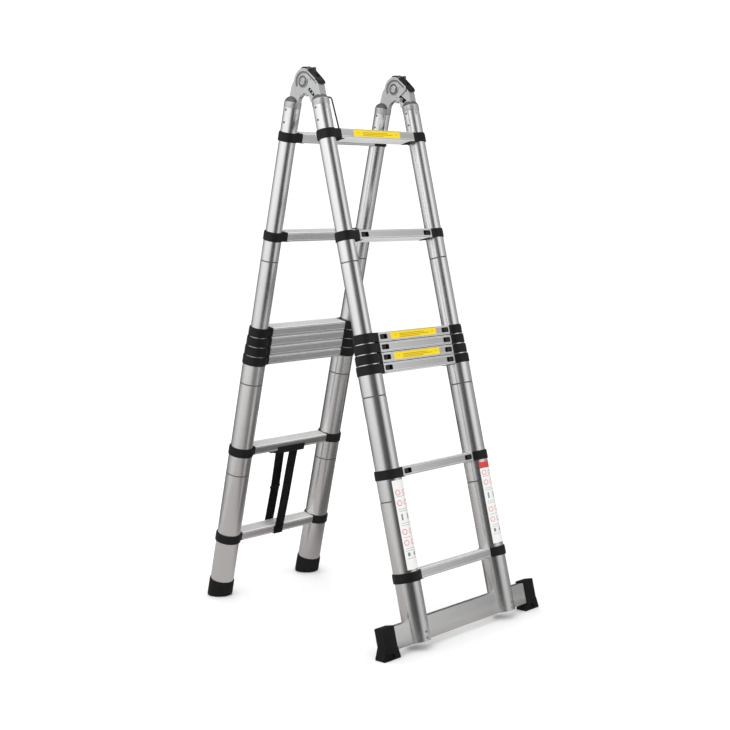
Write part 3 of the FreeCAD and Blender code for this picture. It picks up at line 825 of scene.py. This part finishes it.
# The rear ladder's frame is turned half round, so its left stile stands at +X there.
for side, sign in SIDES:
    make_rear_leaf(side, -sign)
    make_front_leaf(side, sign)
    make_latch(side, sign)

# ---------------------------------------------------------------- wire, bar, shoes, caps and strap

WIRE_RADIUS = 2.3
WIRE_PATH = ((-184, -57.5), (-158, -56.5), (-153.5, -57.5), (-150.5, -60), (-149, -64.5),
             (-141.5, -150), (-141, -157))


def make_wire():
    """The bent wire stay beside the left hinge, from the stile down to the first rung."""
    mesh = bmesh.new()
    rod(mesh, [(x, STILE_Y, z) for x, z in WIRE_PATH], WIRE_RADIUS)
    piece("hinge_stay_wire", mesh, "front", "front_1", "collar")


def make_bar():
    """The stabiliser bar, and the two screws that hold it in each front tube."""
    low = TUBE_END["front"]
    mesh = bmesh.new()
    outside = round_rectangle((STILE_Y, low + BAR_HEIGHT / 2), BAR_DEPTH, BAR_HEIGHT, 2.5)
    prism_x(mesh, outside, -BAR_HALF, BAR_HALF)
    piece("stabiliser_bar_tube", mesh, "front", "front_7", "rung", ["stabiliser_bar"])
    radius = tube_radius(SECTIONS)
    for side, sign in SIDES:
        screws = bmesh.new()
        for height in (10, 27):
            profile = [(4.6, 0), (4.6, 0.6), (3.9, 2.2), (2.2, 3.2), (1.9, 2.4), (0.6, 2.3)]
            rings = []
            for size, proud in profile:
                turns = [2 * math.pi * index / 28 for index in range(28)]
                rings.append([(sign * STILE_X + size * math.cos(turn), STILE_Y - radius + 0.8 - proud,
                               low + height + size * math.sin(turn)) for turn in turns])
            skin(screws, rings, caps=True)
        piece(f"stabiliser_screws_{side}", screws, "front", "front_7", "steel")


SHOE_LENGTH = 49
SHOE_DEPTH = 34
SOLE_LENGTH = 68
SOLE_DEPTH = 37
FLARE_HEIGHT = 31
SOLE_HEIGHT = 5
SOLE_SHIFT = 5.6


def place_y(height, y=0.0):
    """Where the front stile's axis stands at a height over the floor, in the world."""
    run = STILE_Y * math.cos(lean) + TUBE_END["front"] * math.sin(lean)
    rise = -STILE_Y * math.sin(lean) + TUBE_END["front"] * math.cos(lean) + FLOOR_DROP
    return pivot.y * 1000 + run + (height - rise) * math.tan(lean) + y


def box_ring(x, height, length, depth, corner, centre_y=None):
    """A round-cornered rectangle at a height over the floor, in the world."""
    middle = place_y(height) if centre_y is None else centre_y
    return [(px, py, height) for px, py in round_rectangle((x, middle), length, depth, corner, 4)]


def make_shoe(side, sign):
    """An end shoe: the sleeve on the bar, and the flared foot that lies flat on the floor."""
    x = sign * BAR_HALF
    low = TUBE_END["front"]
    sleeve = bmesh.new()
    rings = []
    for inset, level in ((2, low - 6), (0, low - 4), (0, low + BAR_HEIGHT + 3),
                         (0.7, low + BAR_HEIGHT + 4.4), (2.2, low + BAR_HEIGHT + 5)):
        outline = round_rectangle((x, STILE_Y), SHOE_LENGTH - 2 * inset, SHOE_DEPTH - 2 * inset, 3.5, 4)
        rings.append([(px, py, level) for px, py in outline])
    skin(sleeve, rings, caps=True)
    piece(f"shoe_sleeve_{side}", sleeve, "front", "front_7", "rubber", ["stabiliser_shoes"])
    foot = bmesh.new()
    base_y = place_y(0) + SOLE_SHIFT
    rings = [box_ring(x, FLARE_HEIGHT + 6, SHOE_LENGTH - 3, SHOE_DEPTH - 3, 3),
             box_ring(x, FLARE_HEIGHT + 1, SHOE_LENGTH - 2, SHOE_DEPTH - 2, 3),
             box_ring(x, FLARE_HEIGHT - 1, SHOE_LENGTH - 1, SHOE_DEPTH - 8, 2),
             box_ring(x, SOLE_HEIGHT + 2, SOLE_LENGTH - 3, SOLE_DEPTH - 9, 2, base_y),
             box_ring(x, SOLE_HEIGHT, SOLE_LENGTH, SOLE_DEPTH, 2, base_y),
             box_ring(x, 1, SOLE_LENGTH, SOLE_DEPTH, 2, base_y),
             box_ring(x, 0, SOLE_LENGTH - 2, SOLE_DEPTH - 2, 2, base_y)]
    skin(foot, rings, caps=True)
    piece(f"shoe_foot_{side}", foot, "world", "front_7", "rubber", ["stabiliser_shoes"])
    gusset = bmesh.new()
    for facing in (-1, 1):
        ends = []
        for high_x, low_x in ((0, 10), (SHOE_LENGTH / 2 - 0.5, SOLE_LENGTH / 2 - 0.5)):
            high_y, low_y = place_y(FLARE_HEIGHT), base_y
            proud, base = facing * SHOE_DEPTH / 2, facing * (SOLE_DEPTH / 2 - 0.4)
            ends.append([(x - facing * high_x, high_y, FLARE_HEIGHT + 3),
                         (x - facing * high_x, high_y + proud, FLARE_HEIGHT + 3),
                         (x - facing * low_x, low_y + base, SOLE_HEIGHT - 0.5),
                         (x - facing * low_x, low_y, SOLE_HEIGHT - 0.5)])
        skin(gusset, ends, caps=True)
    piece(f"shoe_gusset_{side}", gusset, "world", "front_7", "rubber", ["stabiliser_shoes"], bevel=0.8)


def make_foot(side, sign):
    """A rear foot cap, flat on the floor however the tube leans."""
    mesh = bmesh.new()
    rings = [circle(radius, (sign * STILE_X, STILE_Y), level, 72)
             for radius, level in ((37.05, -1640), (37.05, -1600.4), (38.6, -1600), (39.4, -1601),
                                   (39.6, -1606))]

    def on_floor(radius, height):
        ring = circle(radius, (sign * STILE_X, STILE_Y), 0, 72)
        return [(x, y, (height - FLOOR_DROP + y * math.sin(lean)) / math.cos(lean)) for x, y, _ in ring]

    rings += [on_floor(39.9, 9), on_floor(39.6, 4.5), on_floor(38.2, 1.4), on_floor(35.5, 0),
              on_floor(33, 0),
              on_floor(32, 1.2)]
    skin(mesh, rings, caps=True)
    piece(f"rear_foot_cap_{side}", mesh, "rear", "rear_7", "rubber", ["rear_foot_caps"])


STRAP_WIDTH = 38
STRAP_THICKNESS = 1.8


def make_strap():
    """The bracket under the seventh rung, and the webbing from it round the last rung."""
    under = RUNG_TOPS[7] - RUNG_HEIGHT
    bracket = bmesh.new()
    outline = soften([(-62, under + 0.2), (-62, under - 13), (62, under - 13), (62, under + 0.2)], 3)
    prism_y(bracket, outline, STILE_Y - 12, STILE_Y + 12)
    flange = soften([(-60, under + 13), (-60, under - 10), (60, under - 10), (60, under + 13)], 4)
    prism_y(bracket, flange, STILE_Y + RUNG_DEPTH / 2 - 2, STILE_Y + RUNG_DEPTH / 2 + 1.6)
    round_box(bracket, (-56, STILE_Y + 10, under - 9), (56, STILE_Y + RUNG_DEPTH / 2 - 1, under - 1))
    for edge in (-1, 1):
        hook = [(edge * 60, under - 6), (edge * 73, under - 6), (edge * 75, under - 9),
                (edge * 73, under - 12.5), (edge * 60, under - 13)]
        prism_y(bracket, hook, STILE_Y - 9, STILE_Y + 9)
    piece("strap_bracket", bracket, "rear", "rear_7", "collar", ["carry_strap"], bevel=1.0)
    top = RUNG_TOPS[8]
    near, far = STILE_Y + RUNG_DEPTH / 2, STILE_Y - RUNG_DEPTH / 2
    front = [(-29, -33, under - 10), (-20, -27, under - 70), (-8, -18, under - 170), (0, -15, top + 6),
             (0, near + 1.2, top - 8), (0, near + 1.2, top - RUNG_HEIGHT + 1)]
    below = [(0, near - 1, top - RUNG_HEIGHT - 1.2), (0, far + 1, top - RUNG_HEIGHT - 1.2)]
    back = [(0, far - 1.2, top - RUNG_HEIGHT + 1), (0, far - 1.2, top - 4), (1, -64, top + 12),
            (4, -58, -1330), (6, -56, -1312), (12, -51, -1250), (19, -46, under - 10)]
    webbing = bmesh.new()
    sweep_band(webbing, smooth_path(front + below + back), STRAP_WIDTH, STRAP_THICKNESS)
    piece("carry_strap_webbing", webbing, "rear", "rear_7", "webbing", ["carry_strap"])
    stitches = bmesh.new()
    keeper = [Vector(point) for point in ((5, -57.4, -1322), (5.4, -57.0, -1318), (5.8, -56.6, -1314))]
    sweep_band(stitches, keeper, STRAP_WIDTH + 4, STRAP_THICKNESS + 3)
    piece("strap_keeper", stitches, "rear", "rear_7", "collar", ["carry_strap"], bevel=0.6)


def smooth_path(points, steps=6):
    """A Catmull-Rom curve through the points."""
    path = [Vector(point) for point in points]
    path = [path[0]] + path + [path[-1]]
    smooth = []
    for index in range(1, len(path) - 2):
        before, start, end, after = path[index - 1:index + 3]
        for step in range(steps):
            part = step / steps
            smooth.append(0.5 * ((2 * start) + (end - before) * part
                                 + (2 * before - 5 * start + 4 * end - after) * part ** 2
                                 + (3 * start - before - 3 * end + after) * part ** 3))
    return smooth + [path[-2]]


def sweep_band(mesh, path, width, thickness):
    """A flat strap that follows a path and keeps its width across the rungs."""
    rings = []
    for index, point in enumerate(path):
        tangent = (path[min(index + 1, len(path) - 1)] - path[max(index - 1, 0)]).normalized()
        across = (Vector((1, 0, 0)) - tangent * tangent.x).normalized()
        normal = tangent.cross(across)
        section = []
        for side, depth in ((-0.5, -0.35), (-0.49, -0.5), (0.49, -0.5), (0.5, -0.35), (0.5, 0.35),
                            (0.49, 0.5), (-0.49, 0.5), (-0.5, 0.35)):
            section.append(point + across * side * width + normal * depth * thickness)
        rings.append(section)
    skin(mesh, rings, caps=True)


make_wire()
make_bar()
make_strap()
for side, sign in SIDES:
    make_shoe(side, sign)
    make_foot(side, -sign)

# ---------------------------------------------------------------- stickers

LABEL_SPAN = (-108, 95)
LABEL_RUNGS = (1, 3, 5)
LABEL_THICKNESS = 0.15
WRAP_HALF = 24.5


def make_rung_labels():
    """Plain yellow panels with a few darker bars, on the outward faces of three front rungs."""
    face = STILE_Y - RUNG_DEPTH / 2
    for rung in LABEL_RUNGS:
        top, low = RUNG_TOPS[rung] - 4.4, RUNG_TOPS[rung] - RUNG_HEIGHT + 3.6
        panel = bmesh.new()
        round_box(panel, (LABEL_SPAN[0], face - LABEL_THICKNESS, low), (LABEL_SPAN[1], face + 0.4, top))
        piece(f"label_yellow_{rung}", panel, "front", f"front_{rung}", "yellow")
        bars = bmesh.new()
        for start, end, drop in ((-92, -84, 7), (-70, 40, 5), (-70, 62, 9.5), (-70, 20, 14), (74, 82, 7)):
            round_box(bars, (start, face - LABEL_THICKNESS * 2, top - drop - 1.6), (end, face, top - drop))
        piece(f"label_bars_{rung}", bars, "front", f"front_{rung}", "ochre")


def wrapped(centre_x, around, level, height):
    """A point on the lower tube's outward face: arc length around it, level, height proud."""
    radius = tube_radius(SECTIONS)
    turn = around / radius
    return (centre_x + (radius + height) * math.sin(turn), STILE_Y - (radius + height) * math.cos(turn),
            level)


def wrapped_panel(mesh, centre_x, span, low, high, proud):
    """A thin panel bent round the tube."""
    steps = max(2, round((span[1] - span[0]) / 3))
    rings = []
    for index in range(steps + 1):
        around = span[0] + (span[1] - span[0]) * index / steps
        rings.append([wrapped(centre_x, around, level, height)
                      for level, height in ((low, -0.3), (low, proud), (high, proud), (high, -0.3))])
    skin(mesh, rings, caps=True)


def wrapped_ring(mesh, centre_x, middle, radius, proud):
    """A thin round line bent round the tube."""
    rings = []
    for index in range(28):
        turn = 2 * math.pi * index / 28
        ring = []
        for size, height in ((radius - 0.8, -0.2), (radius - 0.8, proud), (radius + 0.8, proud),
                             (radius + 0.8, -0.2)):
            ring.append(wrapped(centre_x, middle[0] + size * math.cos(turn),
                                middle[1] + size * math.sin(turn), height))
        rings.append(ring)
    skin(mesh, rings, loop=True)


def make_tube_labels():
    """A pale panel on each lower tube, with plain rings, bars and one red block."""
    spans = {"left": (-1178, -1432), "right": (-1200, -1428)}
    for side, sign in SIDES:
        x = sign * STILE_X
        high, low = spans[side]
        panel = bmesh.new()
        wrapped_panel(panel, x, (-WRAP_HALF, WRAP_HALF), low, high, 0.12)
        piece(f"label_panel_{side}", panel, "front", "front_7", "white")
        rings = bmesh.new()
        for level in (-1213, -1243, -1325, -1356):
            for around in (-12, 12):
                wrapped_ring(rings, x, (around, level), 7, 0.24)
        if side == "right":
            wrapped_panel(rings, x, (-WRAP_HALF, WRAP_HALF), high + 1, high + 19, 0.12)
        piece(f"label_rings_{side}", rings, "front", "front_7", "red")
        bars = bmesh.new()
        for level in (-1224, -1260, -1266, -1300, -1306, -1340, -1372, -1378, -1400):
            wrapped_panel(bars, x, (-19, 17), level - 1, level, 0.2)
        for around in (-14, 8):
            wrapped_panel(bars, x, (around, around + 5), -1292, -1274, 0.24)
            wrapped_panel(bars, x, (around - 1, around + 7), -1394, -1384, 0.24)
        piece(f"label_bars_{side}", bars, "front", "front_7", "grey")


make_rung_labels()
make_tube_labels()

# ---------------------------------------------------------------- camera and studio

FOCAL_LENGTH = 68.064658
SENSOR = 36
YAW, PITCH, ROLL = math.radians(47.308), math.radians(-6.415), math.radians(-0.438)
CAMERA_FROM_PIVOT = Vector((-3.0781, -2.8798, -0.3707))


def make_camera():
    """A camera off the front left, three quarters of the way up, looking down a little."""
    data = bpy.data.cameras.new("camera")
    data.sensor_width = SENSOR
    data.lens = FOCAL_LENGTH
    camera = bpy.data.objects.new("camera", data)
    bpy.context.scene.collection.objects.link(camera)
    ahead = Vector((math.sin(YAW) * math.cos(PITCH), math.cos(YAW) * math.cos(PITCH), math.sin(PITCH)))
    turn = ahead.to_track_quat("-Z", "Y") @ Matrix.Rotation(ROLL, 3, "Z").to_quaternion()
    camera.rotation_mode = "QUATERNION"
    camera.rotation_quaternion = turn
    camera.location = pivot + CAMERA_FROM_PIVOT
    bpy.context.scene.camera = camera


def staged(name, mesh, material):
    """A studio object that isn't part of the ladder."""
    data = bpy.data.meshes.new(name)
    mesh.to_mesh(data)
    mesh.free()
    item = bpy.data.objects.new(name, data)
    bpy.context.scene.collection.objects.link(item)
    data.materials.append(material)
    return item


def make_floor():
    mesh = bmesh.new()
    bmesh.ops.create_grid(mesh, x_segments=1, y_segments=1, size=40)
    staged("floor", mesh, new_material("floor", (0.94, 0.94, 0.94), 0.9))


CURTAIN_RADIUS = 1.5
CURTAIN_HEIGHT = 3.2
# Brightness round the room by share of a turn, counted from straight behind the left stiles.
CURTAIN_STOPS = ((0.0, 1.1), (0.06, 1.0), (0.12, 0.14), (0.21, 0.06), (0.27, 0.95), (0.33, 1.0),
                 (0.37, 0.5), (0.46, 0.45), (0.52, 0.1), (0.72, 0.08), (0.8, 0.5), (0.9, 1.05), (1.0, 1.1))
CURTAIN_FOOT = 0.55
CURTAIN_FULL = 1.3
GROUND_STOPS = ((0.0, 0.5), (0.07, 0.46), (0.13, 0.22), (0.19, 0.24), (0.26, 0.5), (0.32, 0.42),
                (0.37, 0.2), (0.42, 0.14), (0.52, 0.14), (0.62, 0.3), (0.82, 0.5), (1.0, 0.5))
GROUND_TINT = (1.0, 0.955, 0.94)


def reflected_only(item):
    """Leaves a studio card out of everything but reflections."""
    item.visible_camera = False
    item.visible_diffuse = False
    item.visible_shadow = False
    item.visible_transmission = False


def glow_material(name):
    """An empty material that ends in a light-giving node."""
    material = bpy.data.materials.new(name)
    material.use_nodes = True
    tree = material.node_tree
    tree.nodes.clear()
    glow = node_of(tree, "ShaderNodeEmission", Strength=1.0)
    out = tree.nodes.new("ShaderNodeOutputMaterial")
    tree.links.new(glow.outputs["Emission"], out.inputs["Surface"])
    return material, tree, glow


def bands_around(tree, glow, stops, tint=(1, 1, 1)):
    """Colours a glow by the angle round the ladder, and returns the coordinates it used."""
    place = tree.nodes.new("ShaderNodeTexCoord")
    around = tree.nodes.new("ShaderNodeTexGradient")
    around.gradient_type = "RADIAL"
    ramp = tree.nodes.new("ShaderNodeValToRGB")
    while len(ramp.color_ramp.elements) < len(stops):
        ramp.color_ramp.elements.new(0.5)
    for element, (position, level) in zip(ramp.color_ramp.elements, stops):
        element.position = position
        element.color = (*(level * share for share in tint), 1)
    tree.links.new(place.outputs["Object"], around.inputs["Vector"])
    tree.links.new(around.outputs["Fac"], ramp.inputs["Fac"])
    tree.links.new(ramp.outputs["Color"], glow.inputs["Color"])
    return place.outputs["Object"]


def make_curtain():
    """A ring of light and dark cards round the ladder, dimmer near the floor."""
    mesh = bmesh.new()
    skin(mesh, [circle(CURTAIN_RADIUS, (0, 0), level, 96) for level in (0.02, CURTAIN_HEIGHT)])
    material, tree, glow = glow_material("curtain")
    place = bands_around(tree, glow, CURTAIN_STOPS)
    parts = tree.nodes.new("ShaderNodeSeparateXYZ")
    height = node_of(tree, "ShaderNodeMapRange", From_Max=CURTAIN_FULL, To_Min=CURTAIN_FOOT)
    tree.links.new(place, parts.inputs["Vector"])
    tree.links.new(parts.outputs["Z"], height.inputs["Value"])
    tree.links.new(height.outputs["Result"], glow.inputs["Strength"])
    reflected_only(staged("curtain", mesh, material))


def make_ground_glow():
    """A dim warm disc just over the floor, banded like the ring."""
    mesh = bmesh.new()
    mesh.faces.new([mesh.verts.new(point) for point in circle(CURTAIN_RADIUS, (0, 0), 0.003, 96)])
    material, tree, glow = glow_material("ground_glow")
    bands_around(tree, glow, GROUND_STOPS, GROUND_TINT)
    reflected_only(staged("ground_glow", mesh, material))


def area_light(name, place, target, size, power):
    data = bpy.data.lights.new(name, "AREA")
    data.shape = "RECTANGLE"
    data.size, data.size_y = size
    data.energy = power
    light = bpy.data.objects.new(name, data)
    light.location = place
    light.rotation_mode = "QUATERNION"
    light.rotation_quaternion = (Vector(target) - Vector(place)).to_track_quat("-Z", "Y")
    bpy.context.scene.collection.objects.link(light)


def make_light():
    world = bpy.data.worlds.new("studio")
    world.use_nodes = True
    world.node_tree.nodes["Background"].inputs["Color"].default_value = (1, 1, 1, 1)
    world.node_tree.nodes["Background"].inputs["Strength"].default_value = 1.1
    bpy.context.scene.world = world
    bpy.context.scene.view_settings.view_transform = "Standard"
    area_light("key", (-3.5, -1.5, 4.2), (0, 0, 0.6), (3, 3), 70)
    area_light("fill", (2.5, 3.5, 3.6), (0, 0, 0.6), (3, 3), 40)


make_camera()
make_floor()
make_curtain()
make_ground_glow()
make_light()
